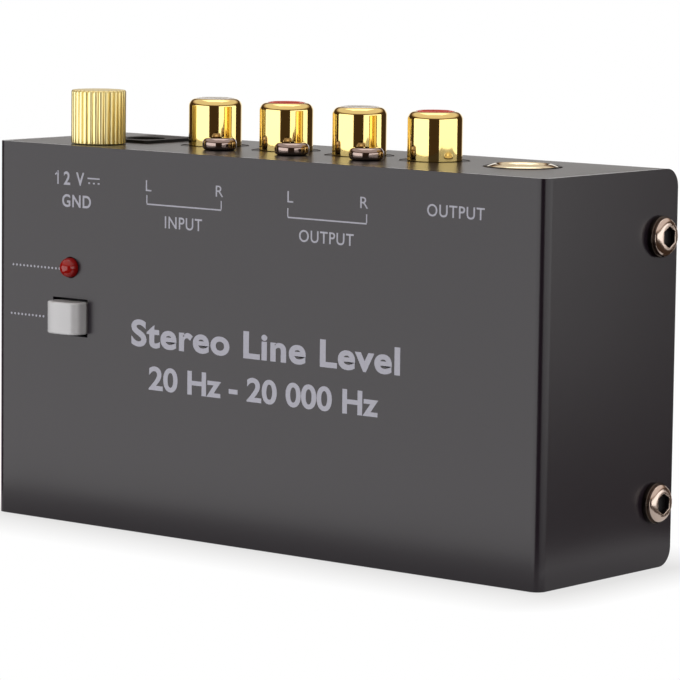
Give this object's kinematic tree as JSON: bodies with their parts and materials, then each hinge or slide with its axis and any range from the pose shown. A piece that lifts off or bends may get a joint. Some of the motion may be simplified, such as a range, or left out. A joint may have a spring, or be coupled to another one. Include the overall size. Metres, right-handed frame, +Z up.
{
  "type": "phono preamplifier",
  "caption": "Small steel-cased phono preamplifier with gold phono sockets, a headphone-size socket, power socket, ground thumb nut, lamp and push button.",
  "frame": {"origin": "centre of the underside, the narrow side the preamplifier stands on", "axes": "+X along the case to the headphone-size socket, +Y from the printed face to the back, +Z up to the socket panel"},
  "size_m": [0.1116, 0.0357, 0.068],
  "materials": {
    "black_matt_moulding": "satin",
    "black_moulding": "gloss",
    "black_nickel": "dark bright nickel",
    "board_green": "solder mask",
    "film_red": "gloss",
    "gold_plate": "bright gold plate",
    "grey_plastic": "satin",
    "natural_plastic": "satin",
    "nickel": "bright nickel",
    "painted_steel": "fine satin powder coat, charcoal",
    "painted_steel_top": "fine satin powder coat, charcoal",
    "pale_gold_plate": "bright pale gold plate",
    "red_insulator": "gloss",
    "red_lens": "clear tinted resin",
    "resistor_blue": "satin lacquer",
    "sleeve_blue": "satin sleeve",
    "spring_steel": "satin",
    "tin_plate": "tin plate",
    "white_insulator": "gloss",
    "wire_cover": "satin"
  },
  "bodies": {
    "case": {"cover": "painted_steel", "chassis": "painted_steel_top", "side_screws": "nickel", "side_washers": "spring_steel", "panel_screws": "black_nickel", "ground_stud": "gold_plate", "ground_lug": "tin_plate", "ground_nut": "tin_plate", "ground_wire": "wire_cover", "rca_block": "black_moulding", "rca_shell_1": "gold_plate", "rca_shell_2": "gold_plate", "rca_shell_3": "gold_plate", "rca_shell_4": "gold_plate", "rca_insulator_1": "white_insulator", "rca_insulator_2": "red_insulator", "rca_insulator_3": "white_insulator", "rca_insulator_4": "red_insulator", "rca_contact_1": "gold_plate", "rca_contact_2": "gold_plate", "rca_contact_3": "gold_plate", "rca_contact_4": "gold_plate", "phone_body": "black_moulding", "phone_ferrule": "pale_gold_plate", "phone_tip_spring": "tin_plate", "phone_ring_spring": "tin_plate", "dc_body": "black_matt_moulding", "dc_pin": "nickel", "dc_terminals": "tin_plate", "led_lens": "red_lens", "led_leads": "tin_plate", "led_spacer": "natural_plastic", "switch_body": "black_matt_moulding", "switch_spring": "spring_steel", "switch_pins": "tin_plate", "board": "board_green", "board_pillars": "tin_plate", "board_screws": "tin_plate", "amplifier_chips": "black_matt_moulding", "electrolytic_capacitors": "sleeve_blue", "reservoir_capacitor": "sleeve_blue", "film_capacitors": "film_red", "resistors": "resistor_blue", "regulator": "black_matt_moulding"},
    "button": {"button_cap": "grey_plastic", "switch_plunger": "natural_plastic"},
    "clamp_washer": {"ground_washer": "gold_plate"},
    "thumb_nut": {"ground_knob": "gold_plate"}
  },
  "joints": [
    {"name": "button_press", "type": "slide", "parent": "case", "child": "button", "axis": [0, 1, 0], "range_m": [0, 0.0018], "stiffness_N_per_m": 600, "deforming": ["switch_spring"]},
    {"name": "thumb_nut_rise", "type": "slide", "parent": "case", "child": "clamp_washer", "axis": [0, 0, 1], "range_m": [0, 0.00245]},
    {"name": "thumb_nut_turn", "type": "hinge", "parent": "clamp_washer", "child": "thumb_nut", "pos_m": [-0.0381, -0.01015, 0.0595], "axis": [0, 0, 1], "range_deg": [0, 1260]}
  ],
  "couplings": [
    {"joint": "thumb_nut_turn", "follows": "thumb_nut_rise", "rad_per_m": 8976}
  ]
}
